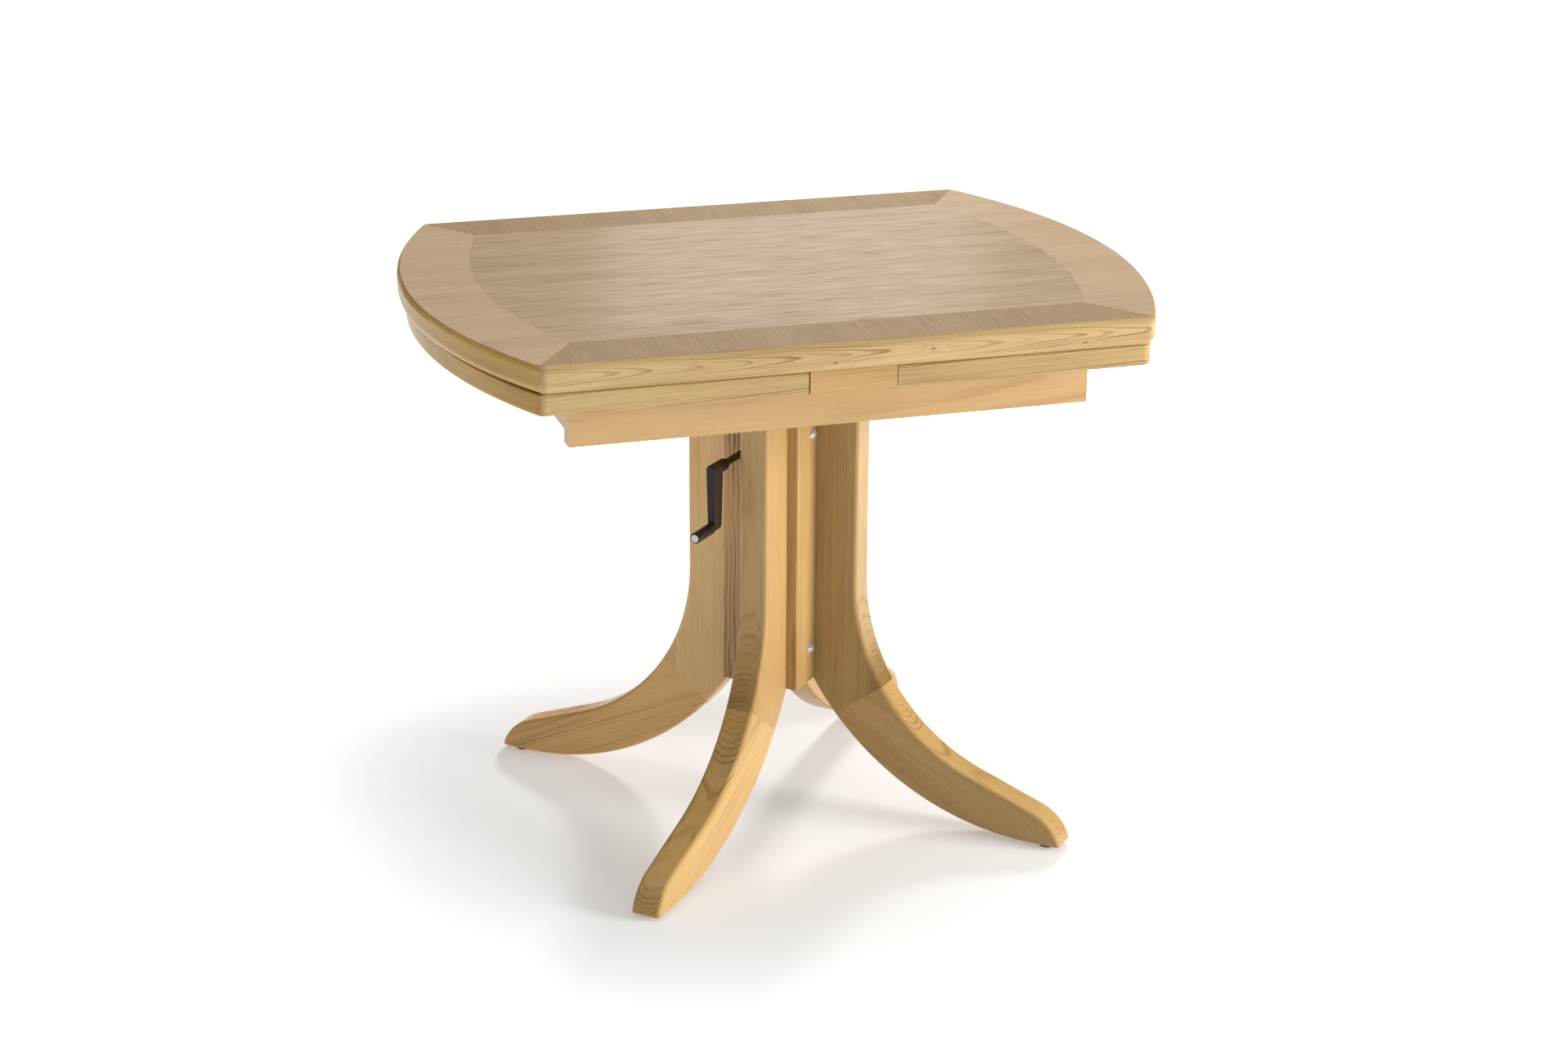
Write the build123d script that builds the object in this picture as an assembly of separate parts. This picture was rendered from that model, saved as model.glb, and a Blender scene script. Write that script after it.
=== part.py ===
from build123d import *
import os
from math import asin, cos, degrees, pi, radians, sin, sqrt

# Draw-leaf table on a four-legged pedestal with a hand crank for its height.
# Millimetres, +Z up, +X along the table's length, front at -Y, origin on the floor under the middle.

# Top, a veneered board with a rounded lipping
TOP_HEIGHT = 700.0
TOP_THICKNESS = 34.0
VENEER = 1.0
VENEER_HALF_DEPTH = 332.0
VENEER_HALF_LENGTH = 441.0
END_RADIUS = 727.0
LIPPING_OUT = 8.0
END_LIPPING_OUT = 4.0
LIPPING_IN = 14.0
LIPPING_TOP_ROUND = 7.5
LIPPING_LOW_ROUND = 12.0
TOP_CORNER = 13.0
SIDE_BAND = 77.0
END_BAND = 86.0
FIELD_END_RADIUS = 730.0
PEG_RADIUS = 9.0
PEG_LENGTH = 64.0
PEG_INSET = 15.0
PEG_Y = 217.0

# Leaves under the top, with the fixed board between them
LEAF_THICKNESS = 25.6
LEAF_HALF_DEPTH = 330.0
LEAF_REACH = 435.0
LEAF_END_RADIUS = 775.0
LEAF_LOW_ROUND = 3.0
LEAF_TOP_ROUND = 2.5
LEAF_CORNER = 12.0
LEAF_LIPPING = 16.0
SLIDE_GAP = 0.4
CENTRE_HALF_WIDTH = 51.5
JOINT_GAP = {"left": 2.2, "right": 0.8}
DRAW_TRAVEL = 318.0

# Apron frame
APRON_Y = 261.0
APRON_HALF_LENGTH = 314.0
APRON_THICKNESS = 23.0
APRON_LOW = 579.5
END_RAIL_SETBACK = 4.0
END_RAIL_THICKNESS = 20.0
END_RAIL_LOW = 590.0
LONG_RAIL_Y = 90.0
LONG_RAIL_THICKNESS = 24.0
LONG_RAIL_LOW = 597.0
CORNER_BLOCK = 28.0
LOPER_WIDTH = 22.0
LOPER_DEPTH = 32.0
LOPER_OUTER_X = 325.0
LOPER_SHOULDER_X = 118.0
LOPER_REBATE = 1.2
LOPER_INNER_X = 270.0
LOPER_Y = {"left": 185.0, "right": 155.0}
STOP_RADIUS = 5.0
STOP_DROP = 12.0
STOP_INSET = 14.0

# Pedestal, four planks set round a square tube like a pinwheel
PLANK = 38.0
TUBE_HALF = 38.0
TUBE_WALL = 3.0
COLUMN_LOW = 173.0
COLUMN_HIGH = 530.0
LEG_OUT = 108.0
LEG_BEND_START = 308.0
LEG_BEND_RADIUS = 247.0
LEG_BEND_ANGLE = 70.3
LEG_SLOPE = 87.0
LEG_UNDER_RADIUS = 354.0
LEG_UNDER_FLAT_X = 350.0
LEG_ROUND = 5.0
LEG_LOW_ROUND = 3.0
TOE_RADIUS = 60.0
FOOT_LOW = 5.0
FOOT_JOINT = ((78.0, 126.0), (146.0, 176.0))
GLIDE_RADIUS = 11.0
GLIDE_X = 368.0
BATTEN_WIDTH = 51.0
BATTEN_THICKNESS = 14.0
BATTEN_ROUND = 3.0
BOLT_X = 11.0
BOLT_Z = (217.0, 500.0)
BOLT_HEAD = 7.5
BOLT_HEAD_HEIGHT = 4.5
BOLT_SHANK = 3.0
LEG_TURNS = {"front_right": 0, "back_right": 90, "back_left": 180, "front_left": 270}

# The pedestal stands off the table's middle, along its own first axis, as its lift post is off centre
PEDESTAL_TURN = -43.5
PEDESTAL_OFFSET = 15.5

# Lift inside the tube, in the pedestal's own axes
POST_X = (-8.0, 32.0)
POST_HALF = 32.0
POST_LOW = 235.0
GUIDE_CLEARANCE = 0.06
GUIDE_LEVELS = ((345.0, 375.0), (497.0, 528.0))
GUIDE_BLOCK = 8.0
GUIDE_REACH = 12.0
GUIDE_INSET = 2.0
PLATE_X = 65.0
PLATE_THICKNESS = 6.0
SCREW_SHANK = 2.5
SCREW_HEAD = 5.0
SCREW_HEAD_HEIGHT = 2.5
SCREW_DEPTH = 24.0
SCREW_END_GAP = 1.0
SCREW_X = (-52.0, 0.0, 52.0)
RUNNING = 0.08
FIT = 0.1

# Crank drive: a pair of mitre gears turns an upright screw
DRIVE_X = -22.0
DRIVE_Y = -8.0
DRIVE_Z = 478.0
SPINDLE_RADIUS = 7.0
PIVOT_RADIUS = 5.0
FLOOR_THICKNESS = 8.0
GEAR_TEETH = 16
GEAR_PITCH = 11.0
GEAR_FRONT = 7.5
GEAR_ROOT = 9.6
GEAR_TIP = 12.0
TOOTH_ROOT = 2.4
TOOTH_TIP = 0.8
GEAR_HUB_RADIUS = 8.0
GEAR_HUB = 6.0
BRACKET_THICKNESS = 7.0
BRACKET_LOW = 442.0
BRACKET_HIGH = 496.0
NUT_RADIUS = 9.0
NUT_FLANGE = 11.5
NUT_FLANGE_HEIGHT = 5.0
NUT_HEIGHT = 26.0
NUT_PLATE = 6.0
NUT_ARM_Y = (-22.0, 6.0)
NUT_ARM_HIGH = 50.0
NUT_ARM_WALL = 4.0
WALL_CLEARANCE = 1.0

# Crank handle
SHAFT_RADIUS = 4.5
BUSH_RADIUS = 7.0
BUSH_Y = (-51.0, -29.0)
HUB_HIGH = -107.0
HUB_RADIUS = 7.5
ARM_Y = (-140.0, -123.0)
ARM_LENGTH = 72.0
ARM_TOP_RADIUS = 7.6
ARM_LOW_RADIUS = 5.6
ARM_ROUND = 3.0
ARM_SEAT = 4.0
PIN_RADIUS = 3.0
PIN_END_GAP = 1.0
GRIP_LENGTH = 42.0
GRIP_RADIUS = 6.8
GRIP_ROUND = 2.0
GRIP_GAP = 0.4
CAP_RADIUS = 4.8
CAP_DEPTH = 3.0

# Sizes worked out from the above
TOP_LOW = TOP_HEIGHT - TOP_THICKNESS
LEAF_HIGH = TOP_LOW - SLIDE_GAP
LEAF_LOW = LEAF_HIGH - LEAF_THICKNESS
FRAME_HIGH = LEAF_LOW - SLIDE_GAP
END_CENTRE = VENEER_HALF_LENGTH - END_RADIUS
RAIL_OUT = APRON_HALF_LENGTH - END_RAIL_SETBACK
RAIL_IN = RAIL_OUT - END_RAIL_THICKNESS
APRON_IN = APRON_Y - APRON_THICKNESS
PLATE_LOW = LONG_RAIL_LOW - PLATE_THICKNESS
PLATE_Y = LONG_RAIL_Y + LONG_RAIL_THICKNESS / 2
TUBE_IN = TUBE_HALF - TUBE_WALL
SIDES = {"left": -1, "right": 1}


def block(x, y, z):
    """A box given by its low and high limit on each axis."""
    size = [high - low for low, high in (x, y, z)]
    middle = [(high + low) / 2 for low, high in (x, y, z)]
    return Pos(*middle) * Box(*size)


def rod(radius, start, end):
    """A round bar from one point to another."""
    span = Vector(*end) - Vector(*start)
    return Solid.make_cylinder(radius, span.length, Plane(start, z_dir=span.normalized()))


def group(solids):
    return Compound(children=list(solids))


def pedestal(shape):
    """Bring a shape from the pedestal's axes to the table's."""
    return Rot(0, 0, PEDESTAL_TURN) * Pos(PEDESTAL_OFFSET, 0, 0) * shape


def signed_range(side, low, high):
    """The limits low and high on the left (-1) or right (+1) side of the middle."""
    return tuple(sorted((side * low, side * high)))


def barrel(half_depth, radius, centre):
    """A face with straight front and back and round ends, about the two centres at +-centre."""
    corner = centre + sqrt(radius**2 - half_depth**2)
    bulge = centre + radius
    front = Line((-corner, -half_depth), (corner, -half_depth))
    right = ThreePointArc((corner, -half_depth), (bulge, 0), (corner, half_depth))
    back = Line((corner, half_depth), (-corner, half_depth))
    left = ThreePointArc((-corner, half_depth), (-bulge, 0), (-corner, -half_depth))
    return Face(Wire([front, right, back, left]))


def top_outline(side_grow, end_grow):
    """The veneer's outline, grown at the front and back and at the round ends."""
    return barrel(VENEER_HALF_DEPTH + side_grow, END_RADIUS + end_grow, END_CENTRE)


def prism(face, low, high):
    return Pos(0, 0, low) * extrude(face, amount=high - low, dir=(0, 0, 1))


def upright_edges(solid):
    return solid.edges().filter_by(Axis.Z)


def quarters(ring, corner_x, corner_y, slope):
    """Cut a ring along the mitres through its corners into front, back, left and right pieces."""
    reach = 2 * VENEER_HALF_LENGTH
    step = (reach * slope[0], reach * slope[1])
    tip = (corner_x + step[0], corner_y + step[1])
    root = (corner_x - step[0] * corner_y / step[1], 0)
    right = Polygon(root, tip, (tip[0] * 2, 0), align=None)
    wedge = prism(right + mirror(right, Plane.XZ), 0, 2 * TOP_HEIGHT)
    pieces = {"right": ring & wedge, "left": ring & mirror(wedge, Plane.YZ)}
    rest = ring - wedge - mirror(wedge, Plane.YZ)
    pieces["front"] = rest & block((-reach, reach), (-reach, 0), (0, 2 * TOP_HEIGHT))
    pieces["back"] = rest & block((-reach, reach), (0, reach), (0, 2 * TOP_HEIGHT))
    return pieces


def make_top():
    """Core, veneers, lippings and guide pegs of the loose top."""
    veneer_low = TOP_HEIGHT - VENEER
    body = prism(top_outline(LIPPING_OUT, END_LIPPING_OUT), TOP_LOW, TOP_HEIGHT)
    body = fillet(upright_edges(body), TOP_CORNER)
    body = fillet(body.faces().sort_by(Axis.Z)[-1].edges(), LIPPING_TOP_ROUND)
    body = fillet(body.faces().sort_by(Axis.Z)[0].edges(), LIPPING_LOW_ROUND)
    sheet = prism(top_outline(0, 0), veneer_low, TOP_HEIGHT)
    inside = prism(top_outline(-LIPPING_IN, -LIPPING_IN), TOP_LOW, veneer_low)
    pegs = [rod(PEG_RADIUS, (0, y, TOP_LOW - PEG_LENGTH), (0, y, TOP_LOW + PEG_INSET))
            for y in (-PEG_Y, PEG_Y)]
    peg_holes = [rod(PEG_RADIUS, (0, y, TOP_LOW), (0, y, TOP_LOW + PEG_INSET)) for y in (-PEG_Y, PEG_Y)]
    nodes = {"top_core": inside - peg_holes, "guide_pegs": group(pegs)}

    corner_x = END_CENTRE + sqrt(END_RADIUS**2 - VENEER_HALF_DEPTH**2)
    field_y = VENEER_HALF_DEPTH - SIDE_BAND
    field_centre = VENEER_HALF_LENGTH - END_BAND - FIELD_END_RADIUS
    field_x = field_centre + sqrt(FIELD_END_RADIUS**2 - field_y**2)
    run = (corner_x - field_x, VENEER_HALF_DEPTH - field_y)
    slope = (run[0] / sqrt(run[0]**2 + run[1]**2), run[1] / sqrt(run[0]**2 + run[1]**2))

    for name, piece in quarters(body - sheet - inside, corner_x, VENEER_HALF_DEPTH, slope).items():
        nodes[name + "_lipping"] = piece
    field = prism(barrel(field_y, FIELD_END_RADIUS, field_centre), veneer_low, TOP_HEIGHT)
    nodes["field_veneer"] = field
    for name, piece in quarters(sheet - field, corner_x, VENEER_HALF_DEPTH, slope).items():
        nodes[name + "_band_veneer"] = piece
    return nodes


def centre_edge(grow):
    """Outline of the board between the leaves, whose sides follow the top's rounded end."""
    radius = END_RADIUS + END_LIPPING_OUT
    centre = CENTRE_HALF_WIDTH + grow - sqrt(radius**2 - LEAF_HALF_DEPTH**2)
    return barrel(LEAF_HALF_DEPTH, radius, centre)


def make_leaf(name):
    """Panel, lippings, lopers and stops of one draw leaf."""
    side = SIDES[name]
    reach = 2 * VENEER_HALF_LENGTH
    end_centre = LEAF_REACH - LEAF_END_RADIUS
    body = prism(barrel(LEAF_HALF_DEPTH, LEAF_END_RADIUS, end_centre), LEAF_LOW, LEAF_HIGH)
    body = fillet(upright_edges(body), LEAF_CORNER)
    body = fillet(body.faces().sort_by(Axis.Z)[0].edges(), LEAF_LOW_ROUND)
    body = fillet(body.faces().sort_by(Axis.Z)[-1].edges(), LEAF_TOP_ROUND)
    hollow = prism(centre_edge(JOINT_GAP[name]), 0, TOP_HEIGHT)
    half = block(signed_range(side, 0, reach), (-reach, reach), (0, TOP_HEIGHT))
    leaf = (body - hollow) & half
    inner_depth = LEAF_HALF_DEPTH - LEAF_LIPPING
    inner_radius = LEAF_END_RADIUS - LEAF_LIPPING
    panel_zone = prism(barrel(inner_depth, inner_radius, end_centre), 0, TOP_HEIGHT)
    corner_in = end_centre + sqrt(inner_radius**2 - inner_depth**2)
    corner_out = end_centre + sqrt(LEAF_END_RADIUS**2 - LEAF_HALF_DEPTH**2)
    mitre = ((corner_out - corner_in) / LEAF_LIPPING, 1)
    rim = quarters(leaf - panel_zone, corner_in, inner_depth, mitre)

    loper_x = signed_range(side, -LOPER_INNER_X, LOPER_OUTER_X)
    rebate_x = signed_range(side, -LOPER_INNER_X, LOPER_SHOULDER_X)
    stop_x = side * (RAIL_IN - STOP_RADIUS - SLIDE_GAP - DRAW_TRAVEL)
    lopers, stops = [], []
    for y in (-LOPER_Y[name], LOPER_Y[name]):
        across = (y - LOPER_WIDTH / 2, y + LOPER_WIDTH / 2)
        low = LEAF_LOW - LOPER_DEPTH
        stop = rod(STOP_RADIUS, (stop_x, y, low - STOP_DROP), (stop_x, y, low + STOP_INSET))
        rebate = block(rebate_x, across, (LEAF_LOW - LOPER_REBATE, LEAF_LOW))
        lopers.append(block(loper_x, across, (low, LEAF_LOW)) - rebate - stop)
        stops.append(stop)
    return {
        f"{name}_leaf_panel": leaf & panel_zone,
        f"{name}_leaf_end_lipping": rim[name],
        f"{name}_leaf_side_lippings": group(rim["front"].solids() + rim["back"].solids()),
        f"{name}_lopers": group(lopers),
        f"{name}_loper_stops": group(stops),
    }


def loper_notches(name):
    low = LEAF_LOW - LOPER_DEPTH - SLIDE_GAP
    half = LOPER_WIDTH / 2 + SLIDE_GAP
    wide = 2 * VENEER_HALF_LENGTH
    return [block((-wide, wide), (y - half, y + half), (low, TOP_HEIGHT))
            for y in (-LOPER_Y[name], LOPER_Y[name])]


def plate_screw(x, y, low):
    """A screw driven upwards, its flat head against the underside at low."""
    head = rod(SCREW_HEAD, (x, y, low - SCREW_HEAD_HEIGHT), (x, y, low))
    return head + rod(SCREW_SHANK, (x, y, low), (x, y, low + PLATE_THICKNESS + SCREW_DEPTH))


def make_frame():
    """Aprons, rails, centre board and the plate that the lift post carries."""
    nodes = {}
    screws = [plate_screw(x, y, PLATE_LOW) for x in SCREW_X for y in (-LONG_RAIL_Y, LONG_RAIL_Y)]
    bores = [rod(SCREW_SHANK + FIT, (x, y, PLATE_LOW), (x, y, LONG_RAIL_LOW + SCREW_DEPTH + SCREW_END_GAP))
             for x in SCREW_X for y in (-LONG_RAIL_Y, LONG_RAIL_Y)]
    blocks = []
    for word, side in (("front", -1), ("back", 1)):
        apron_y = signed_range(side, APRON_IN, APRON_Y)
        rail_y = signed_range(side, LONG_RAIL_Y - LONG_RAIL_THICKNESS / 2, PLATE_Y)
        nodes[f"{word}_apron"] = block((-APRON_HALF_LENGTH, APRON_HALF_LENGTH), apron_y,
                                       (APRON_LOW, FRAME_HIGH))
        nodes[f"{word}_long_rail"] = block((-RAIL_IN, RAIL_IN), rail_y, (LONG_RAIL_LOW, FRAME_HIGH)) - bores
        for end in (-1, 1):
            blocks.append(block(signed_range(end, RAIL_IN - CORNER_BLOCK, RAIL_IN),
                                signed_range(side, APRON_IN - CORNER_BLOCK, APRON_IN),
                                (END_RAIL_LOW, FRAME_HIGH)))
    nodes["corner_blocks"] = group(blocks)
    for word, side in SIDES.items():
        rail = block(signed_range(side, RAIL_IN, RAIL_OUT), (-APRON_IN, APRON_IN), (END_RAIL_LOW, FRAME_HIGH))
        nodes[f"{word}_end_rail"] = rail - loper_notches(word)
    peg_holes = [rod(PEG_RADIUS + RUNNING, (0, y, 0), (0, y, TOP_HEIGHT)) for y in (-PEG_Y, PEG_Y)]
    nodes["centre_board"] = prism(centre_edge(0), FRAME_HIGH, TOP_LOW - FIT) - peg_holes
    nodes["post_plate"] = block((-PLATE_X, PLATE_X), (-PLATE_Y, PLATE_Y), (PLATE_LOW, LONG_RAIL_LOW)) - bores
    nodes["plate_screws"] = group(screws)

    nodes["lift_post"] = pedestal(block(POST_X, (-POST_HALF, POST_HALF), (POST_LOW, PLATE_LOW)))
    nut_x = -TUBE_IN + WALL_CLEARANCE
    arm = block((nut_x, POST_X[0]), NUT_ARM_Y, (POST_LOW, POST_LOW + NUT_PLATE))
    arm += block((POST_X[0] - NUT_ARM_WALL, POST_X[0]), NUT_ARM_Y, (POST_LOW, POST_LOW + NUT_ARM_HIGH))
    seat = POST_LOW + NUT_PLATE
    nut = drive_rod(NUT_RADIUS, POST_LOW, POST_LOW + NUT_HEIGHT)
    flange = drive_rod(NUT_FLANGE, seat, seat + NUT_FLANGE_HEIGHT) & block(
        (nut_x, POST_X[0] - NUT_ARM_WALL), NUT_ARM_Y, (0, TOP_HEIGHT))
    nodes["nut_bracket"] = pedestal(arm - drive_rod(NUT_RADIUS, 0, TOP_HEIGHT))
    nodes["lift_nut"] = pedestal(nut + flange - drive_rod(SPINDLE_RADIUS + RUNNING, 0, TOP_HEIGHT))
    return nodes


def leg_solid():
    """One whole leg, along +X of the pedestal, before it is cut at its glue joint."""
    turn = radians(LEG_BEND_ANGLE)
    bend = JernArc((LEG_OUT, LEG_BEND_START), (0, -1), LEG_BEND_RADIUS, LEG_BEND_ANGLE)
    slope = Line(bend @ 1, bend @ 1 + LEG_SLOPE * (bend % 1))
    toe_centre_z = (slope @ 1).Y - TOE_RADIUS * sin(turn)
    toe_angle = turn - asin((FOOT_LOW - toe_centre_z) / TOE_RADIUS)
    toe = JernArc(slope @ 1, slope % 1, TOE_RADIUS, -degrees(toe_angle))
    sole = Line(toe @ 1, (LEG_UNDER_FLAT_X, FOOT_LOW))
    under_angle = asin((LEG_UNDER_FLAT_X - TUBE_HALF) / LEG_UNDER_RADIUS)
    under = JernArc(sole @ 1, (-1, 0), LEG_UNDER_RADIUS, -degrees(under_angle))
    back = Polyline(under @ 1, (TUBE_HALF, COLUMN_HIGH), (LEG_OUT, COLUMN_HIGH), (LEG_OUT, LEG_BEND_START))
    outline = [*bend.edges(), *slope.edges(), *toe.edges(), *sole.edges(), *under.edges(), *back.edges()]
    side = Plane.XZ * Face(Wire(outline))
    leg = extrude(side, amount=PLANK, dir=(0, 1, 0))

    def flank_edges(solid):
        return [edge for edge in solid.edges() if edge.bounding_box().size.Y < FIT]

    def under_distance(edge):
        middle = edge.position_at(0.5)
        return sqrt((middle.X - LEG_UNDER_FLAT_X)**2 + (middle.Z - FOOT_LOW - LEG_UNDER_RADIUS)**2)

    def is_outer(edge):
        return edge.position_at(0.5).X > LEG_OUT - FIT and under_distance(edge) < LEG_UNDER_RADIUS - FIT

    def is_under(edge):
        return abs(under_distance(edge) - LEG_UNDER_RADIUS) < FIT

    leg = fillet([edge for edge in flank_edges(leg) if is_outer(edge)], LEG_ROUND)
    return fillet([edge for edge in flank_edges(leg) if is_under(edge)], LEG_LOW_ROUND)


def bolt(z):
    """A dome-headed bolt through a batten into the tube's wall."""
    face = PLANK + BATTEN_THICKNESS
    dome_radius = (BOLT_HEAD**2 + BOLT_HEAD_HEIGHT**2) / (2 * BOLT_HEAD_HEIGHT)
    dome = Pos(BOLT_X, face + BOLT_HEAD_HEIGHT - dome_radius, z) * Sphere(dome_radius)
    wide = 2 * BOLT_HEAD
    head = dome & block((BOLT_X - wide, BOLT_X + wide), (face, face + wide), (z - wide, z + wide))
    return head + rod(BOLT_SHANK, (BOLT_X, TUBE_IN, z), (BOLT_X, face, z))


def drive_rod(radius, low, high):
    """An upright round bar on the screw's axis."""
    return rod(radius, (DRIVE_X, DRIVE_Y, low), (DRIVE_X, DRIVE_Y, high))


def shaft_rod(radius, y):
    """A level round bar on the crank's axis."""
    return rod(radius, (DRIVE_X, y[0], DRIVE_Z), (DRIVE_X, y[1], DRIVE_Z))


def make_base():
    """Legs, battens, bolts, glides and the fixed parts of the lift."""
    nodes = {}
    leg = leg_solid()
    (x0, z0), (x1, z1) = FOOT_JOINT
    joint = Plane((x0, 0, z0), x_dir=(x1 - x0, 0, z1 - z0), z_dir=(z0 - z1, 0, x1 - x0))
    upright = split(leg, bisect_by=joint, keep=Keep.TOP)
    foot = split(leg, bisect_by=joint, keep=Keep.BOTTOM)
    batten = block((0, BATTEN_WIDTH), (PLANK, PLANK + BATTEN_THICKNESS), (COLUMN_LOW, COLUMN_HIGH))
    corner = batten.edges().filter_by(Axis.Z).sort_by(Axis.Y)[-2:].sort_by(Axis.X)[-1]
    batten = fillet(corner, BATTEN_ROUND)
    bolts = [bolt(z) for z in BOLT_Z]
    bolt_bores = [rod(BOLT_SHANK + FIT, (BOLT_X, 0, z), (BOLT_X, 2 * PLANK, z)) for z in BOLT_Z]
    batten -= bolt_bores
    bush_bore = pedestal(shaft_rod(BUSH_RADIUS, (-TUBE_HALF * 2, 0)))
    tube = block((-TUBE_HALF, TUBE_HALF), (-TUBE_HALF, TUBE_HALF), (COLUMN_LOW, COLUMN_HIGH))
    tube -= block((-TUBE_IN, TUBE_IN), (-TUBE_IN, TUBE_IN), (0, TOP_HEIGHT))
    tube = pedestal(tube) - bush_bore
    all_bolts, glides = [], []
    glide = rod(GLIDE_RADIUS, (GLIDE_X, PLANK / 2, 0), (GLIDE_X, PLANK / 2, FOOT_LOW))
    for word, turn in LEG_TURNS.items():
        around = Rot(0, 0, turn)
        nodes[f"{word}_leg_upright"] = pedestal(around * upright)
        nodes[f"{word}_leg_foot"] = pedestal(around * foot)
        nodes[f"{word}_batten"] = pedestal(around * batten)
        all_bolts += [pedestal(around * one) for one in bolts]
        tube -= [pedestal(around * one) for one in bolt_bores]
        glides.append(pedestal(around * glide))
    nodes["back_left_batten"] -= bush_bore
    nodes["batten_bolts"] = group(all_bolts)
    nodes["foot_glides"] = group(glides)
    nodes["column_tube"] = tube

    floor = block((-TUBE_IN, TUBE_IN), (-TUBE_IN, TUBE_IN), (COLUMN_LOW, COLUMN_LOW + FLOOR_THICKNESS))
    nodes["column_floor"] = pedestal(floor - drive_rod(PIVOT_RADIUS + RUNNING, 0, TOP_HEIGHT))
    guides = []
    for level in GUIDE_LEVELS:
        gap = GUIDE_CLEARANCE
        half = POST_HALF - GUIDE_INSET
        guides.append(block((POST_X[1] + gap, TUBE_IN), (-half, half), level))
        for side in (-1, 1):
            across = signed_range(side, POST_HALF + gap, TUBE_IN)
            reach = signed_range(side, TUBE_IN - GUIDE_REACH, TUBE_IN)
            guides.append(block((POST_X[0] + GUIDE_INSET, POST_X[1] - GUIDE_INSET), across, level))
            guides.append(block((POST_X[0] - gap - GUIDE_BLOCK, POST_X[0] - gap), reach, level))
    nodes["post_guides"] = group(pedestal(one) for one in guides)
    bracket_y = (-TUBE_IN, NUT_ARM_Y[1] + BRACKET_THICKNESS)
    bracket_x = (-TUBE_IN, DRIVE_X + GEAR_TIP)
    bracket = block(bracket_x, bracket_y, (BRACKET_LOW, BRACKET_LOW + BRACKET_THICKNESS))
    bracket += block(bracket_x, (-TUBE_IN, -TUBE_IN + NUT_ARM_WALL), (BRACKET_LOW, BRACKET_HIGH))
    bracket -= drive_rod(SPINDLE_RADIUS + RUNNING, 0, DRIVE_Z)
    nodes["gear_bracket"] = pedestal(bracket - shaft_rod(BUSH_RADIUS, (-TUBE_HALF, 0)))
    nodes["crank_bush"] = pedestal(shaft_rod(BUSH_RADIUS, BUSH_Y) - shaft_rod(SHAFT_RADIUS + RUNNING, BUSH_Y))
    return nodes


def mitre_gear(first_angle):
    """A straight-toothed mitre gear about +Z with its cone's tip at the origin."""
    points = []
    for index in range(GEAR_TEETH):
        middle = first_angle + index * 2 * pi / GEAR_TEETH
        root = TOOTH_ROOT / 2 / GEAR_ROOT
        tip = TOOTH_TIP / 2 / GEAR_TIP
        for radius, turn in ((GEAR_ROOT, -root), (GEAR_TIP, -tip), (GEAR_TIP, tip), (GEAR_ROOT, root)):
            points.append((radius * cos(middle + turn), radius * sin(middle + turn)))
    back = Polygon(*points, align=None)
    front = scale(back, GEAR_FRONT / GEAR_PITCH)
    teeth = loft([Pos(0, 0, GEAR_FRONT) * front, Pos(0, 0, GEAR_PITCH) * back], ruled=True)
    return teeth + rod(GEAR_HUB_RADIUS, (0, 0, GEAR_PITCH), (0, 0, GEAR_PITCH + GEAR_HUB))


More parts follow.
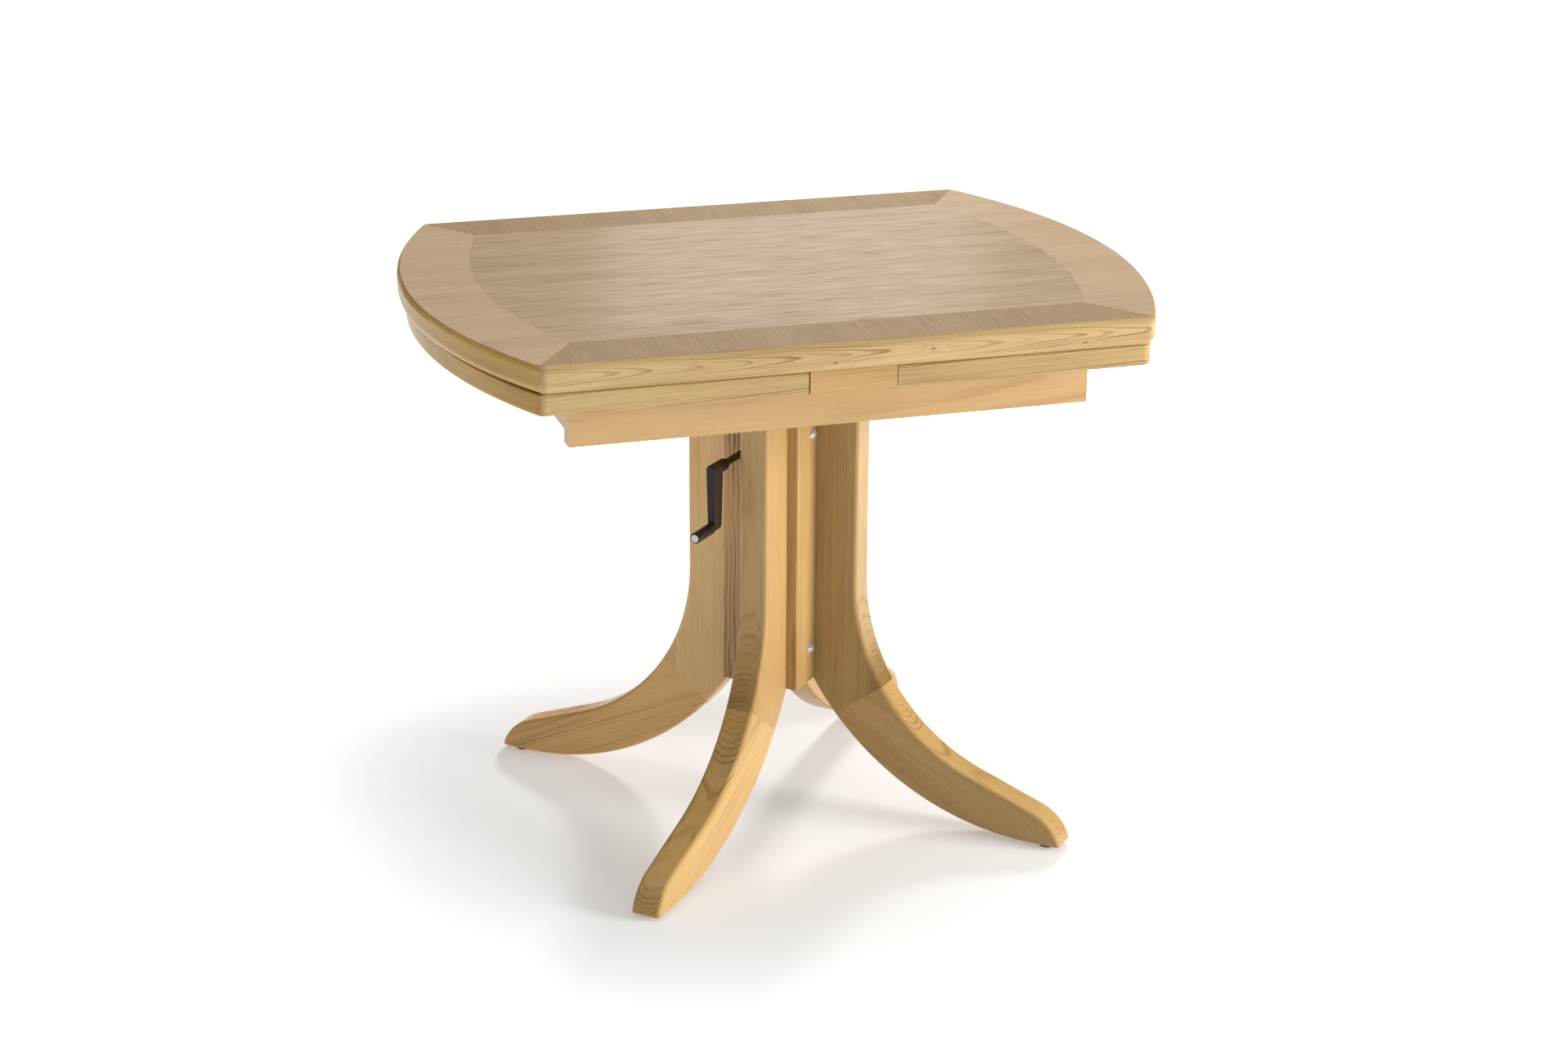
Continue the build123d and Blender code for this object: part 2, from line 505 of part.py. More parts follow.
def make_drive():
    """Screw, mitre gears, crank shaft, arm and turning grip."""
    tip = (DRIVE_X, DRIVE_Y, DRIVE_Z)
    gear_low = DRIVE_Z - GEAR_PITCH - GEAR_HUB
    spindle_high = DRIVE_Z - GEAR_FRONT
    spindle = drive_rod(SPINDLE_RADIUS, COLUMN_LOW + FLOOR_THICKNESS, gear_low)
    spindle += drive_rod(PIVOT_RADIUS, COLUMN_LOW, spindle_high)
    wheel = Plane(tip, x_dir=(0, -1, 0), z_dir=(0, 0, -1)) * mitre_gear(pi / GEAR_TEETH)
    pinion = Plane(tip, x_dir=(0, 0, -1), z_dir=(0, -1, 0)) * mitre_gear(0)
    shaft_y = (ARM_Y[1] - ARM_SEAT, DRIVE_Y - GEAR_FRONT)
    shaft = shaft_rod(SHAFT_RADIUS, shaft_y)

    pivot_z = DRIVE_Z - ARM_LENGTH
    high = Pos(DRIVE_X, DRIVE_Z) * Circle(ARM_TOP_RADIUS)
    low = Pos(DRIVE_X, pivot_z) * Circle(ARM_LOW_RADIUS)
    outline = make_hull(high.edges() + low.edges())
    arm = extrude(Plane((0, ARM_Y[1], 0), x_dir=(1, 0, 0), z_dir=(0, -1, 0)) * outline,
                  amount=ARM_Y[1] - ARM_Y[0])
    arm = fillet(arm.edges().group_by(Axis.Y)[0], ARM_ROUND)
    arm += shaft_rod(HUB_RADIUS, (ARM_Y[1] - ARM_SEAT, HUB_HIGH))
    grip_y = (ARM_Y[0] - GRIP_GAP - GRIP_LENGTH, ARM_Y[0] - GRIP_GAP)
    pin_end = grip_y[0] + CAP_DEPTH + PIN_END_GAP
    arm += rod(PIN_RADIUS, (DRIVE_X, ARM_Y[1], pivot_z), (DRIVE_X, pin_end, pivot_z))
    grip = rod(GRIP_RADIUS, (DRIVE_X, grip_y[0], pivot_z), (DRIVE_X, grip_y[1], pivot_z))
    grip = fillet(grip.edges().filter_by(GeomType.CIRCLE), GRIP_ROUND)
    grip -= rod(PIN_RADIUS + RUNNING, (DRIVE_X, grip_y[0], pivot_z), (DRIVE_X, grip_y[1], pivot_z))
    cap = rod(CAP_RADIUS, (DRIVE_X, grip_y[0], pivot_z), (DRIVE_X, grip_y[0] + CAP_DEPTH, pivot_z))
    nodes = {
        "lift_spindle": spindle,
        "spindle_gear": wheel - drive_rod(PIVOT_RADIUS, COLUMN_LOW, DRIVE_Z),
        "crank_shaft": shaft,
        "crank_gear": pinion - shaft,
        "crank_arm": arm - shaft,
        "grip_sleeve": grip - cap,
        "grip_cap": cap,
    }
    return {name: pedestal(shape) for name, shape in nodes.items()}


def main():
    os.makedirs("parts", exist_ok=True)
    nodes = {**make_base(), **make_frame(), **make_drive(), **make_top()}
    nodes.update(make_leaf("left"))
    nodes.update(make_leaf("right"))
    for name, shape in nodes.items():
        export_step(shape, f"parts/{name}.step")
    print(len(nodes), "nodes")


main()
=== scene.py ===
from math import cos, radians, sin

import bpy
from mathutils import Matrix, Vector


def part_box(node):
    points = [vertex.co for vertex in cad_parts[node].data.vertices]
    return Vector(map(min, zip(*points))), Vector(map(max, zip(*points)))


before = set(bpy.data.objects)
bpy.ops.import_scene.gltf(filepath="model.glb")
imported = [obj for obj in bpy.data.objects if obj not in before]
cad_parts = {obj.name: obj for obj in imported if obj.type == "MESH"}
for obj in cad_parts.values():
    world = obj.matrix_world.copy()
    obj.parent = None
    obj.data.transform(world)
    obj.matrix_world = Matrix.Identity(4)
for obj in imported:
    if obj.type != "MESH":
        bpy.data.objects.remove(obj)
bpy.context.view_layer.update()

X = Vector((1, 0, 0))
Y = Vector((0, 1, 0))
Z = Vector((0, 0, 1))
ENDS = ((-1, "left"), (1, "right"))
FACES = ((-1, "front"), (1, "back"))
WHITE = (1.0, 1.0, 1.0, 1.0)
BLACK = (0.0, 0.0, 0.0, 1.0)

# Camera, fitted to the photograph's edges, in degrees and metres, with its lens in millimetres
CAMERA_YAW = 17.511
CAMERA_PITCH = 19.581
CAMERA_ROLL = 0.380
CAMERA_PLACE = (-1.0218, -3.3091, 1.6021)
CAMERA_LENS = 67.157
SENSOR_WIDTH = 36.0

# Studio light: name, place, point it is aimed at, width, height, power and whether it shows in the lacquer
SOFTBOXES = (
    ("overhead", (0.1, -0.3, 3.0), (0.1, -0.3, 0.0), 4.4, 4.8, 82.0, True),
    ("key", (3.15, -2.025, 1.2), (0.0, 0.0, 0.4), 1.4, 1.6, 160.0, False),
    ("left", (-2.4, -1.4, 1.4), (0.0, 0.0, 0.4), 0.7, 1.2, 2.5, True),
    ("sheen", (1.05, 3.2, 1.6), (0.0, 0.0, 0.7), 0.9, 0.4, 1.6, True),
    ("back", (1.2, 2.0, 1.5), (0.0, 0.0, 0.0), 0.4, 0.4, 44.0, False),
)
WORLD_GLOW = 0.015

# Painted light: the floor glows more and more between two distances from the table, painting a dim pool of
# shade round it
FLOOR_SIZE = 88.0
FLOOR_TONE = (208, 208, 208)
FLOOR_ROUGHNESS = 0.8
FLOOR_SHADE_POOL_REACH = (0.35, 1.0)
FLOOR_PAINTED_GLOW = (0.33, 1.0)
SURROUND_RADIUS = 44.0

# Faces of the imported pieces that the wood's grain starts from, in metres
TOP_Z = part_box("field_veneer")[1].z
CORE_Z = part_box("top_core")[0].z
TOP_MIDDLE_Z = (TOP_Z + CORE_Z) / 2
HALF_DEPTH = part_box("back_lipping")[1].y
CENTRE_BOARD_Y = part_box("centre_board")[0].y

# Other places that the grain follows, in metres and degrees
END_RADIUS = 0.727
END_CENTRE = -0.286
LEAF_Z = 0.665
LEAF_MIDDLE_Z = 0.653
LEAF_MIDDLE_X = 0.2
APRON_Y = 0.26
APRON_MIDDLE_Z = 0.61
RAIL_MIDDLE_Z = 0.6
POST_MIDDLE_Z = 0.3
LEG_TURN = -43.5
LEG_ORDER = ("front_right", "back_right", "back_left", "front_left")
LEG_MIDDLE = (0.07, 0.019)
FOOT_SLOPE = 26.0

# Looks of the woods: colours as on screen, rings and pith in metres, shares of darkening, pores and lacquer
OAK = {
    "light": (192, 157, 101), "dark": (146, 106, 58), "pore": (100, 68, 38),
    "ring": 0.003, "pith": (0.05, 0.0), "tilt": 0.02, "wobble": 0.003, "wave": 0.0012,
    "ring_share": 0.6, "heart": 0.0, "patch": 0.45, "fibre": 0.6,
    "pore_waves": (60, 1300), "pore_share": 0.22, "roughness": (0.3, 0.42), "specular": 0.3, "coat": 0.06,
}
BEECH = {
    "light": (192, 159, 110), "dark": (166, 130, 84), "pore": (140, 100, 60),
    "ring": 0.012, "pith": (0.01, -0.09), "tilt": 0.04, "wobble": 0.008, "wave": 0.001,
    "ring_share": 0.45, "heart": 0.0, "patch": 0.6, "fibre": 0.5,
    "pore_waves": (350, 1800), "pore_share": 0.22, "roughness": (0.4, 0.5), "specular": 0.3, "coat": 0.03,
}
# The veneer's light colour is paler and bluer than the wood alone: part of it is painted sheen
VENEER = {
    "light": (205, 179, 146), "dark": (156, 128, 95), "pore": (124, 94, 68),
    "ring": 0.0085, "pith": (0.9, -0.3), "tilt": 0.012, "wobble": 0.007, "wave": 0.002,
    "ring_share": 0.5, "heart": 0.0, "patch": 0.45, "fibre": 1.1,
    "pore_waves": (16, 480), "pore_share": 0.5, "roughness": (0.2, 0.5), "specular": 0.5, "coat": 0.05,
}

# What single boards change in these looks; some of the changes are painted light and shade, as said at each
END_BAND = {
    "light": (208, 180, 147), "dark": (184, 154, 119),
    "ring_share": 0.5, "patch": 0.7, "pore_share": 0.25, "roughness": (0.34, 0.46),
}
# The cross bands' darker colour is partly their own and partly painted shade for the duller sheen of cross
# grain
CROSS_BAND = {
    "light": (181, 153, 119), "dark": (149, 120, 91),
    "ring_share": 0.35, "fibre": 0.8, "roughness": (0.38, 0.5), "coat": 0.0,
}
# The bent end lippings' golden colour is partly their own and partly painted shade of a shaded end
BENT_EDGE = {
    "light": (191, 153, 85), "dark": (126, 87, 38), "wave": 0.0004,
    "ring_share": 0.5, "patch": 0.6, "roughness": (0.28, 0.38), "specular": 0.15, "coat": 0.0,
}
STRAIGHT_EDGE = {
    "light": (188, 159, 110), "dark": (124, 89, 46),
    "ring": 0.0024, "pith": (0.003, 0.006), "tilt": 0.045, "roughness": (0.28, 0.38),
}
LEAF_SIDE = {"light": (183, 155, 103), "dark": (130, 96, 52), "ring": 0.0022, "pith": (0.03, 0.3)}
CORE = {"light": (206, 172, 126), "dark": (180, 143, 98)}
CENTRE_BOARD = {"light": (184, 149, 96), "dark": (146, 110, 64), "ring_share": 0.5}
UPRIGHT_GRAIN = {"pith": (0.11, 0.0), "tilt": 0.01, "ring_share": 0.4, "heart": 0.35}
# Painted light and shade: the back left upright is paler for the light it gets, the front right one darker,
# with a strong dark heart, for shade
UPRIGHT_TONES_AND_PAINTED_LIGHT = {
    "back_left": {"light": (232, 194, 133), "dark": (188, 144, 89)},
    "front_right": {"light": (178, 147, 92), "dark": (132, 96, 50), "heart": 0.6},
}
FOOT_GRAIN = {"pith": (0.215, 0.0), "ring": 0.0036, "ring_share": 0.5, "patch": 0.45}
# Painted light: the feet are paler than the legs' oak, for light on their tops and toes
FOOT_TONES_AND_PAINTED_LIGHT = {
    "back_left": {"light": (234, 187, 120), "dark": (162, 112, 60), "patch": 0.7},
    "front_left": {"light": (210, 172, 108), "dark": (148, 105, 54)},
}
BATTEN_GRAIN = {"pith": (0.12, 0.05), "tilt": 0.01, "ring_share": 0.4}
BATTEN_TONES = {
    "back_left": {
        "light": (196, 156, 100), "dark": (112, 78, 40), "ring": 0.006, "wobble": 0.009, "wave": 0.005,
        "ring_share": 0.8, "patch": 0.9,
    },
}

# Waves of the wood's noises to the metre, along the grain, across it and into the wood
WOBBLE_WAVES = (3.0, 20.0, 20.0)
RIPPLE_WAVES = (20.0, 80.0, 80.0)
FIBRE_WAVES = (8.0, 560.0, 560.0)
PATCH_WAVES = (4.0, 26.0, 26.0)

# Detail of a noise: how many finer layers it has
RICH_DETAIL = 3.0
USUAL_DETAIL = 2.0
PLAIN_DETAIL = 1.0

# Rings: how unevenly they are spaced, where late wood sets in and ends, and how its strength varies
SPACING_WAVES = (0.35, 0.0, 0.0)
SPACING_SPREAD = 1.6
LATE_START = (0.4, 0.85)
LATE_END = (0.85, 1.0)
STRENGTH_WAVES = (3.7, 3.0, 0.0)
STRENGTH_EDGE = (0.35, 0.65)
STRENGTH_RANGE = (0.25, 1.0)

# Where the dark heart ends, in metres from the pith, and the shades from the light to the dark colour
HEART_REACH = (0.03, 0.07)
SHADE_RANGE = (-0.2, 0.9)

# Pores, which are fainter in late wood, and the lacquer over them
PORE_EDGE = (0.56, 0.68)
EARLY_WOOD = (0.1, 0.6)
LATE_PORES = 0.4
GLOSS_EDGE = (0.35, 0.75)
COAT_ROUGHNESS = 0.2
FIBRE_RELIEF = 0.3
WOOD_BUMP = (0.2, 0.0004)

# Knots in the front and back lippings: places along and across the grain, then their size in metres and rings
LIPPING_KNOTS = ((-0.026, -0.006), (0.09, 0.002), (0.275, -0.006))
KNOT_SQUEEZE = 0.35
KNOT_REACH = 0.008
KNOT_RINGS = 1.4
KNOT_CORE = (0.0004, 0.0016)
KNOT_DARKNESS = 0.85

# Metal and plastic: waves to the metre, the part of each noise that shows, and its relief
STAIN_WAVES = (60.0, 60.0, 60.0)
CLOUD_WAVES = (45.0, 45.0, 45.0)
PEBBLE_WAVES = (1600.0, 1600.0, 1600.0)
NOISE_EDGE = (0.3, 0.7)
MARK_DEPTH = 0.0002
PEBBLE_BUMP = 0.25


def tone(red, green, blue):
    """A colour given as it looks on screen, 0 to 255, for a shader."""
    def linear(value):
        share = value / 255
        return share / 12.92 if share <= 0.04045 else ((share + 0.055) / 1.055) ** 2.4
    return (linear(red), linear(green), linear(blue), 1.0)


class Shader:
    """A material and short ways to add nodes to it."""

    def __init__(self, name):
        self.material = bpy.data.materials.new(name)
        self.material.use_nodes = True
        self.nodes = self.material.node_tree.nodes
        self.links = self.material.node_tree.links
        self.surface = self.nodes["Principled BSDF"].inputs

    def feed(self, socket, value):
        if isinstance(value, bpy.types.NodeSocket):
            self.links.new(value, socket)
        else:
            socket.default_value = value

    def place(self):
        return self.nodes.new("ShaderNodeTexCoord").outputs["Object"]

    def math(self, operation, *values):
        node = self.nodes.new("ShaderNodeMath")
        node.operation = operation
        for socket, value in zip(node.inputs, values):
            self.feed(socket, value)
        return node.outputs["Value"]

    def hypot(self, first, second):
        squares = [self.math("POWER", value, 2.0) for value in (first, second)]
        return self.math("SQRT", self.math("ADD", *squares))

    def vector(self, operation, first, second):
        node = self.nodes.new("ShaderNodeVectorMath")
        node.operation = operation
        self.feed(node.inputs[0], first)
        self.feed(node.inputs[1], second)
        return node.outputs["Value" if operation == "DOT_PRODUCT" else "Vector"]

    def split(self, place):
        node = self.nodes.new("ShaderNodeSeparateXYZ")
        self.feed(node.inputs[0], place)
        return list(node.outputs)

    def join(self, values):
        node = self.nodes.new("ShaderNodeCombineXYZ")
        for socket, value in zip(node.inputs, values):
            self.feed(socket, value)
        return node.outputs[0]

    def noise(self, place, waves, detail=USUAL_DETAIL):
        """Noise from 0 to 1, with so many waves to the metre along each axis."""
        node = self.nodes.new("ShaderNodeTexNoise")
        self.feed(node.inputs["Vector"], self.vector("MULTIPLY", place, waves))
        node.inputs["Scale"].default_value = 1.0
        node.inputs["Detail"].default_value = detail
        return node.outputs["Fac"]

    def step(self, value, low, high, start=0.0, end=1.0):
        """A smooth step from start to end while the value goes from low to high."""
        node = self.nodes.new("ShaderNodeMapRange")
        node.interpolation_type = "SMOOTHSTEP"
        for socket, number in zip(node.inputs, (value, low, high, start, end)):
            self.feed(socket, number)
        return node.outputs["Result"]

    def mix(self, share, first, second):
        node = self.nodes.new("ShaderNodeMix")
        node.data_type = "RGBA"
        colours = [socket for socket in node.inputs if socket.type == "RGBA"]
        self.feed(node.inputs["Factor"], share)
        self.feed(colours[0], first)
        self.feed(colours[1], second)
        return next(socket for socket in node.outputs if socket.type == "RGBA")

    def bump(self, height, strength, distance):
        node = self.nodes.new("ShaderNodeBump")
        node.inputs["Strength"].default_value = strength
        node.inputs["Distance"].default_value = distance
        self.feed(node.inputs["Height"], height)
        self.feed(self.surface["Normal"], node.outputs["Normal"])


def straight_grain(shader, origin, grain, across):
    """Distances along the grain, across it and into the wood, from the origin."""
    offset = shader.vector("SUBTRACT", shader.place(), origin)
    axes = (grain, across, grain.cross(across))
    return [shader.vector("DOT_PRODUCT", offset, tuple(axis)) for axis in axes]


def bent_grain(shader, side, height):
    """The same distances for an edge strip that is bent round one end of the table."""
    x, y, z = shader.split(shader.place())
    reach = shader.math("MULTIPLY_ADD", x, side, -END_CENTRE)
    radius = shader.hypot(reach, y)
    along = shader.math("MULTIPLY", shader.math("ARCTAN2", y, reach), END_RADIUS)
    return [along, shader.math("SUBTRACT", z, height), shader.math("SUBTRACT", END_RADIUS, radius)]


def knot_distance(shader, along, across, knot):
    """The distance from a knot, which reaches further along the grain than across it."""
    lengthwise = shader.math("MULTIPLY", shader.math("SUBTRACT", along, knot[0]), KNOT_SQUEEZE)
    return shader.hypot(lengthwise, shader.math("SUBTRACT", across, knot[1]))


def count_rings(shader, look, place, along, pith_distance, spots):
    """Growth rings counted outwards from the pith, wavy, unevenly spaced and bent round the knots."""
    radius = shader.math("MULTIPLY_ADD", along, look["tilt"], pith_distance)
    for waves, reach in ((WOBBLE_WAVES, look["wobble"]), (RIPPLE_WAVES, look["wave"])):
        radius = shader.math("MULTIPLY_ADD", shader.noise(place, waves), reach * 2, radius)
    for spot in spots:
        swell = shader.step(spot, 0.0, KNOT_REACH, KNOT_RINGS * look["ring"], 0.0)
        radius = shader.math("ADD", radius, swell)
    rings = shader.math("DIVIDE", radius, look["ring"])
    spread = shader.noise(shader.join((rings, 0.0, 0.0)), SPACING_WAVES)
    return shader.math("MULTIPLY_ADD", spread, SPACING_SPREAD, rings)


def late_wood(shader, rings, phase, along):
    """The share of dark late wood, which sets in slowly, ends sharply and varies from ring to ring."""
    late = shader.math("SUBTRACT", shader.step(phase, *LATE_START), shader.step(phase, *LATE_END))
    each = shader.join((shader.math("FLOOR", rings), along, 0.0))
    strength = shader.step(shader.noise(each, STRENGTH_WAVES), *STRENGTH_EDGE, *STRENGTH_RANGE)
    return shader.math("MULTIPLY", late, strength)


def wood(shader, look, distances, seed=0.0, knots=(), **changes):
    """A lacquered wood with rings, patches, fibres, pores and knots. The seed shifts its grain."""
    look = {**look, **changes}
    light, dark, pore = (tone(*look[name]) for name in ("light", "dark", "pore"))
    along, across, into = distances
    place = shader.join((shader.math("ADD", along, seed), across, into))
    from_pith = [shader.math("SUBTRACT", *pair) for pair in zip((across, into), look["pith"])]
    pith_distance = shader.hypot(*from_pith)
    spots = [knot_distance(shader, along, across, knot) for knot in knots]
    rings = count_rings(shader, look, place, along, pith_distance, spots)
    phase = shader.math("FRACT", rings)

    fibre = shader.noise(place, FIBRE_WAVES)
    patch = shader.noise(place, PATCH_WAVES, RICH_DETAIL)
    shade = shader.math("MULTIPLY", late_wood(shader, rings, phase, along), look["ring_share"])
    shade = shader.math("ADD", shade, shader.step(pith_distance, *HEART_REACH, look["heart"], 0.0))
    for variation, share in ((patch, look["patch"] * 2), (fibre, look["fibre"])):
        shade = shader.math("MULTIPLY_ADD", shader.math("SUBTRACT", variation, 0.5), share, shade)
    colour = shader.mix(shader.step(shade, *SHADE_RANGE), light, dark)

    long_waves, cross_waves = look["pore_waves"]
    specks = shader.noise(place, (long_waves, cross_waves, cross_waves), PLAIN_DETAIL)
    strength = shader.step(phase, *EARLY_WOOD, look["pore_share"], look["pore_share"] * LATE_PORES)
    pores = shader.math("MULTIPLY", shader.step(specks, *PORE_EDGE), strength)
    colour = shader.mix(pores, colour, pore)
    for spot in spots:
        colour = shader.mix(shader.step(spot, *KNOT_CORE, KNOT_DARKNESS, 0.0), colour, pore)

    shader.feed(shader.surface["Base Color"], colour)
    shader.feed(shader.surface["Roughness"], shader.step(specks, *GLOSS_EDGE, *look["roughness"]))
    shader.surface["Specular IOR Level"].default_value = look["specular"]
    shader.surface["Coat Weight"].default_value = look["coat"]
    shader.surface["Coat Roughness"].default_value = COAT_ROUGHNESS
    relief = shader.math("MULTIPLY_ADD", fibre, FIBRE_RELIEF, shader.math("MULTIPLY", pores, -1.0))
    shader.bump(relief, *WOOD_BUMP)
    return shader.material


def straight_wood(name, look, origin, grain, across, **changes):
    shader = Shader(name)
    return wood(shader, look, straight_grain(shader, origin, grain, across), **changes)


def bent_wood(name, look, side, height, **changes):
    shader = Shader(name)
    return wood(shader, look, bent_grain(shader, side, height), **changes)


def metal(name, light, dark, roughness, waves, scratch, metallic=1.0):
    """A metal with brushed or turned marks and slight stains."""
    shader = Shader(name)
    place = shader.place()
    marks = shader.noise(place, waves, RICH_DETAIL)
    stains = shader.step(shader.noise(place, STAIN_WAVES, RICH_DETAIL), *NOISE_EDGE)
    shader.feed(shader.surface["Base Color"], shader.mix(stains, tone(*light), tone(*dark)))
    shader.surface["Metallic"].default_value = metallic
    shader.feed(shader.surface["Roughness"], shader.step(marks, *NOISE_EDGE, *roughness))
    shader.bump(marks, scratch, MARK_DEPTH)
    return shader.material


def plastic(name, light, dark, roughness, specular=0.5):
    """A moulded plastic with a fine-grained surface."""
    shader = Shader(name)
    place = shader.place()
    cloud = shader.noise(place, CLOUD_WAVES, RICH_DETAIL)
    pebbles = shader.noise(place, PEBBLE_WAVES, PLAIN_DETAIL)
    shader.feed(shader.surface["Base Color"], shader.mix(cloud, tone(*light), tone(*dark)))
    shader.feed(shader.surface["Roughness"], shader.step(pebbles, *NOISE_EDGE, *roughness))
    shader.surface["Specular IOR Level"].default_value = specular
    shader.bump(pebbles, PEBBLE_BUMP, MARK_DEPTH)
    return shader.material


def dress(material, *names):
    for name in names:
        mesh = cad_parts[name].data
        mesh.materials.clear()
        mesh.materials.append(material)


def dress_top():
    origin = (0, 0, TOP_Z)
    dress(straight_wood("field_oak_veneer", VENEER, origin, X, Y), "field_veneer")
    for side, word in ENDS:
        band = straight_wood(f"{word}_band_oak_veneer", VENEER, origin, X, Y, seed=3.0 + side, **END_BAND)
        dress(band, f"{word}_band_veneer")
        edge = bent_wood(f"{word}_lipping_oak", OAK, side, TOP_MIDDLE_Z, seed=5.0 + side, **BENT_EDGE)
        dress(edge, f"{word}_lipping")
    for side, word in FACES:
        band = straight_wood(f"{word}_band_oak_veneer", VENEER, origin, Y, X, seed=17.0 + side, **CROSS_BAND)
        dress(band, f"{word}_band_veneer")
        edge = straight_wood(f"{word}_lipping_oak", OAK, (0, side * HALF_DEPTH, TOP_MIDDLE_Z), X * -side, Z,
                             seed=19.0 + side, knots=LIPPING_KNOTS, **STRAIGHT_EDGE)
        dress(edge, f"{word}_lipping")
    dress(straight_wood("core_oak_veneer", VENEER, (0, 0, CORE_Z), X, Y, seed=23.0, **CORE), "top_core")


def dress_leaves():
    for side, word in ENDS:
        edge = bent_wood(f"{word}_leaf_end_oak", OAK, side, LEAF_MIDDLE_Z, seed=8.0 + side, **BENT_EDGE)
        dress(edge, f"{word}_leaf_end_lipping")
        panel = straight_wood(f"{word}_leaf_oak_veneer", VENEER, (0, 0, LEAF_Z), X, Y, seed=11.0 + side)
        dress(panel, f"{word}_leaf_panel")
        strip = straight_wood(f"{word}_leaf_side_oak", OAK, (side * LEAF_MIDDLE_X, 0, LEAF_MIDDLE_Z), X, Z,
                              seed=13.0 + side, **LEAF_SIDE)
        dress(strip, f"{word}_leaf_side_lippings")


def dress_frame():
    for side, word in FACES:
        apron = straight_wood(f"{word}_apron_beech", BEECH, (0, side * APRON_Y, APRON_MIDDLE_Z), X, Z,
                              seed=1.0 + side)
        dress(apron, f"{word}_apron")
    rail = straight_wood("rail_beech", BEECH, (0, 0, RAIL_MIDDLE_Z), X, Z, seed=4.0)
    dress(rail, "front_long_rail", "back_long_rail", "left_lopers", "right_lopers")
    end_rail = straight_wood("end_rail_beech", BEECH, (0, 0, APRON_MIDDLE_Z), Y, Z, seed=6.0)
    dress(end_rail, "left_end_rail", "right_end_rail")
    upright = straight_wood("upright_beech", BEECH, (0, 0, POST_MIDDLE_Z), Z, X, seed=8.0)
    dress(upright, "corner_blocks", "lift_post", "guide_pegs", "left_loper_stops", "right_loper_stops")
    board = straight_wood("centre_board_oak", OAK, (0, CENTRE_BOARD_Y, LEAF_MIDDLE_Z), X, Z, seed=10.0,
                          **CENTRE_BOARD)
    dress(board, "centre_board")


def dress_legs():
    low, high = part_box("column_tube")
    centre = Vector((low.x + high.x, low.y + high.y, 0)) / 2
    slope = radians(FOOT_SLOPE)
    for number, word in enumerate(LEG_ORDER):
        turn = radians(LEG_TURN + 90 * number)
        out = Vector((cos(turn), sin(turn), 0))
        along_foot = out * cos(slope) - Z * sin(slope)
        up_foot = out * sin(slope) + Z * cos(slope)
        origin = tuple(centre + out * LEG_MIDDLE[0] + Z.cross(out) * LEG_MIDDLE[1])
        # Some uprights and feet take tones that hold painted light and shade
        upright = straight_wood(f"{word}_upright_oak", OAK, origin, Z, out, seed=30.0 + number,
                                **{**UPRIGHT_GRAIN, **UPRIGHT_TONES_AND_PAINTED_LIGHT.get(word, {})})
        dress(upright, f"{word}_leg_upright")
        foot = straight_wood(f"{word}_foot_oak", OAK, origin, along_foot, up_foot, seed=40.0 + number,
                             **{**FOOT_GRAIN, **FOOT_TONES_AND_PAINTED_LIGHT.get(word, {})})
        dress(foot, f"{word}_leg_foot")
        batten = straight_wood(f"{word}_batten_oak", OAK, origin, Z, out, seed=50.0 + number,
                               **{**BATTEN_GRAIN, **BATTEN_TONES.get(word, {})})
        dress(batten, f"{word}_batten")


def dress_fittings():
    zinc = metal("zinc_steel", (214, 216, 218), (190, 192, 196), roughness=(0.24, 0.38),
                 waves=(300.0, 300.0, 300.0), scratch=0.05, metallic=0.6)
    steel = metal("oiled_steel", (150, 146, 134), (112, 108, 98), roughness=(0.3, 0.5),
                  waves=(60.0, 60.0, 900.0), scratch=0.08)
    shaft = metal("olive_steel", (126, 116, 84), (88, 80, 58), roughness=(0.3, 0.48),
                  waves=(900.0, 900.0, 900.0), scratch=0.06)
    brass = metal("turned_brass", (206, 172, 96), (168, 134, 70), roughness=(0.25, 0.4),
                  waves=(40.0, 40.0, 1200.0), scratch=0.08)
    brown = plastic("brown_black_plastic", (52, 40, 33), (40, 31, 25), roughness=(0.42, 0.54), specular=0.25)
    black = plastic("black_plastic", (30, 29, 28), (20, 19, 19), roughness=(0.3, 0.42))
    pale = plastic("pale_plastic", (226, 228, 228), (206, 208, 208), roughness=(0.4, 0.5))
    dress(zinc, "batten_bolts", "plate_screws")
    dress(steel, "column_tube", "column_floor", "post_plate", "gear_bracket", "nut_bracket", "lift_spindle",
          "spindle_gear", "crank_gear")
    dress(shaft, "crank_shaft")
    dress(brass, "crank_bush", "lift_nut")
    dress(brown, "crank_arm")
    dress(black, "grip_sleeve", "foot_glides")
    dress(pale, "grip_cap", "post_guides")


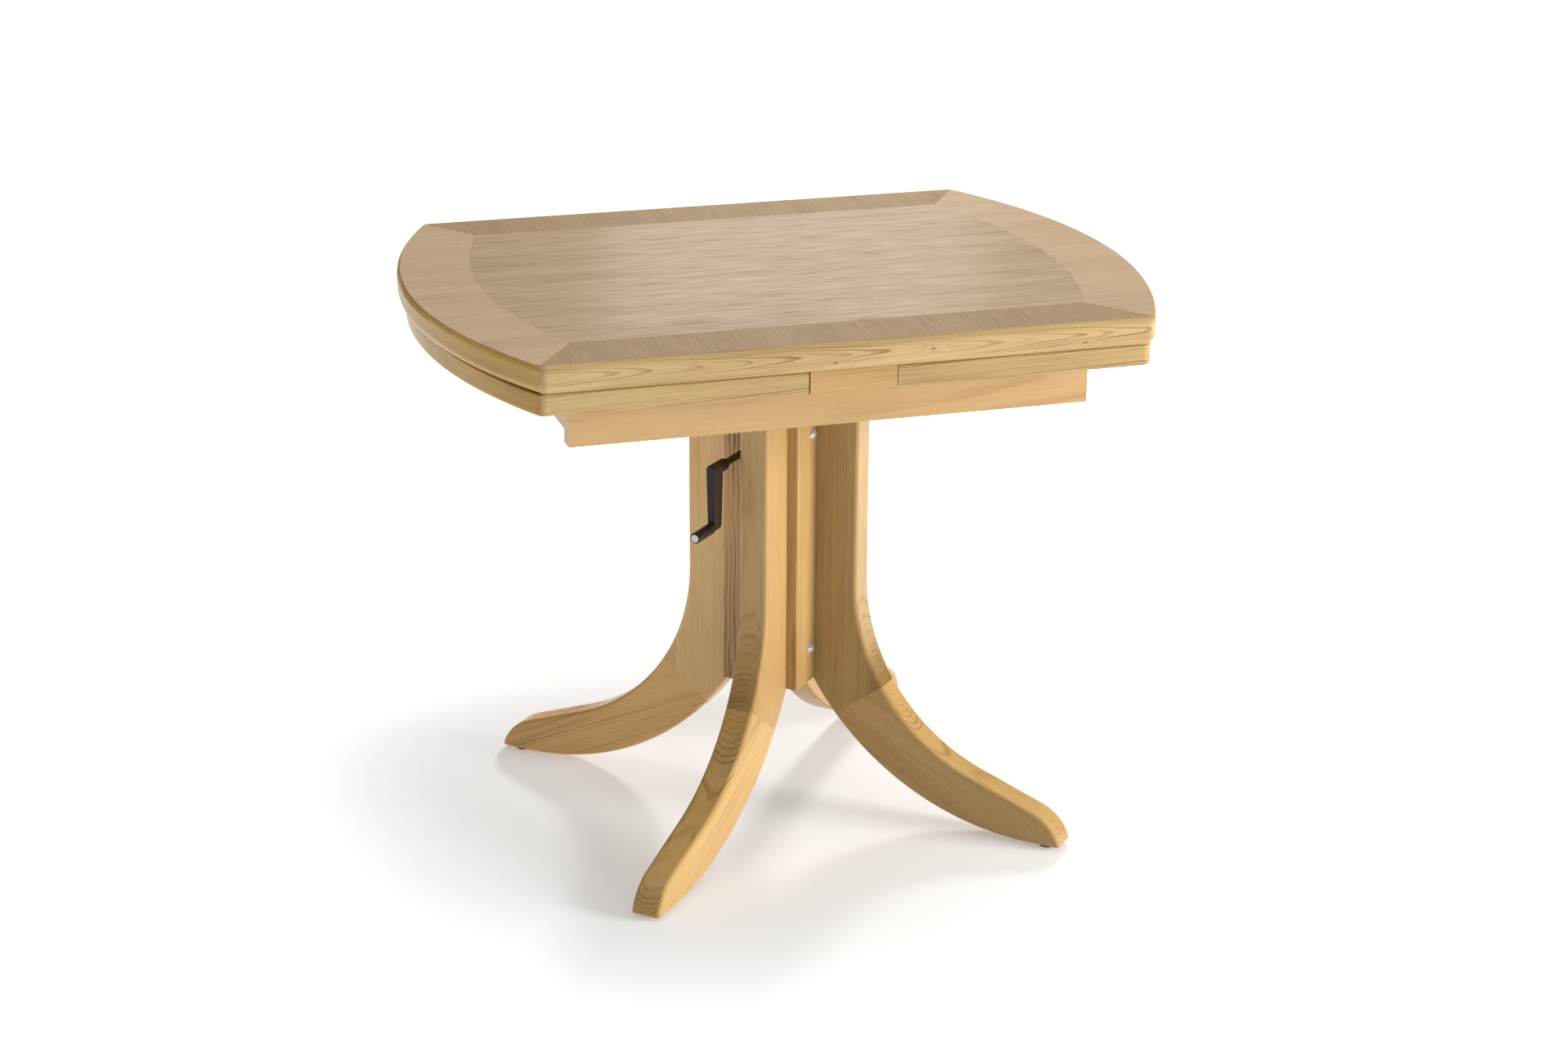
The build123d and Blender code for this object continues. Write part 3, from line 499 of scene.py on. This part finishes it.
def make_camera():
    yaw, pitch, roll = (radians(angle) for angle in (CAMERA_YAW, CAMERA_PITCH, CAMERA_ROLL))
    ahead = Vector((sin(yaw) * cos(pitch), cos(yaw) * cos(pitch), -sin(pitch)))
    level = Vector((cos(yaw), -sin(yaw), 0))
    upward = level.cross(ahead)
    right = level * cos(roll) + upward * sin(roll)
    data = bpy.data.cameras.new("camera")
    data.lens = CAMERA_LENS
    data.sensor_width = SENSOR_WIDTH
    camera = bpy.data.objects.new("camera", data)
    turn = Matrix((right, right.cross(ahead), -ahead)).transposed().to_4x4()
    camera.matrix_world = Matrix.Translation(CAMERA_PLACE) @ turn
    bpy.context.collection.objects.link(camera)
    bpy.context.scene.camera = camera


def softbox(name, place, aim, width, height, power, shows):
    data = bpy.data.lights.new(name, "AREA")
    data.shape = "RECTANGLE"
    data.size = width
    data.size_y = height
    data.energy = power
    light = bpy.data.objects.new(name, data)
    light.visible_glossy = shows
    light.location = place
    light.rotation_euler = (Vector(aim) - Vector(place)).to_track_quat("-Z", "Y").to_euler()
    bpy.context.collection.objects.link(light)


def make_floor():
    """A pale floor that glows, more further out so that the studio has no visible end; its dimmer glow near
    the table paints a pool of shade round it.
    """
    bpy.ops.mesh.primitive_plane_add(size=FLOOR_SIZE)
    floor = bpy.context.object
    floor.name = "studio_floor"
    shader = Shader("studio_floor")
    x, y, _ = shader.split(shader.place())
    # Painted light and shade: the glow rises from dim near the table to full further out
    glow = shader.step(shader.hypot(x, y), *FLOOR_SHADE_POOL_REACH, *FLOOR_PAINTED_GLOW)
    shader.surface["Base Color"].default_value = tone(*FLOOR_TONE)
    shader.surface["Roughness"].default_value = FLOOR_ROUGHNESS
    shader.surface["Emission Color"].default_value = WHITE
    shader.feed(shader.surface["Emission Strength"], glow)
    floor.data.materials.append(shader.material)


def make_surround():
    """A white surround behind the floor, which gives no light to the table."""
    bpy.ops.mesh.primitive_uv_sphere_add(radius=SURROUND_RADIUS)
    surround = bpy.context.object
    surround.name = "studio_surround"
    surround.visible_diffuse = False
    surround.visible_glossy = False
    surround.visible_shadow = False
    shader = Shader("studio_surround")
    shader.surface["Base Color"].default_value = BLACK
    shader.surface["Specular IOR Level"].default_value = 0.0
    shader.surface["Emission Color"].default_value = WHITE
    shader.surface["Emission Strength"].default_value = 1.0
    surround.data.materials.append(shader.material)


def make_studio():
    world = bpy.data.worlds.new("studio")
    world.use_nodes = True
    background = world.node_tree.nodes["Background"].inputs
    background["Color"].default_value = WHITE
    background["Strength"].default_value = WORLD_GLOW
    bpy.context.scene.world = world
    for light in SOFTBOXES:
        softbox(*light)
    bpy.context.scene.view_settings.view_transform = "Standard"


make_camera()
make_floor()
make_surround()
make_studio()
dress_top()
dress_leaves()
dress_frame()
dress_legs()
dress_fittings()
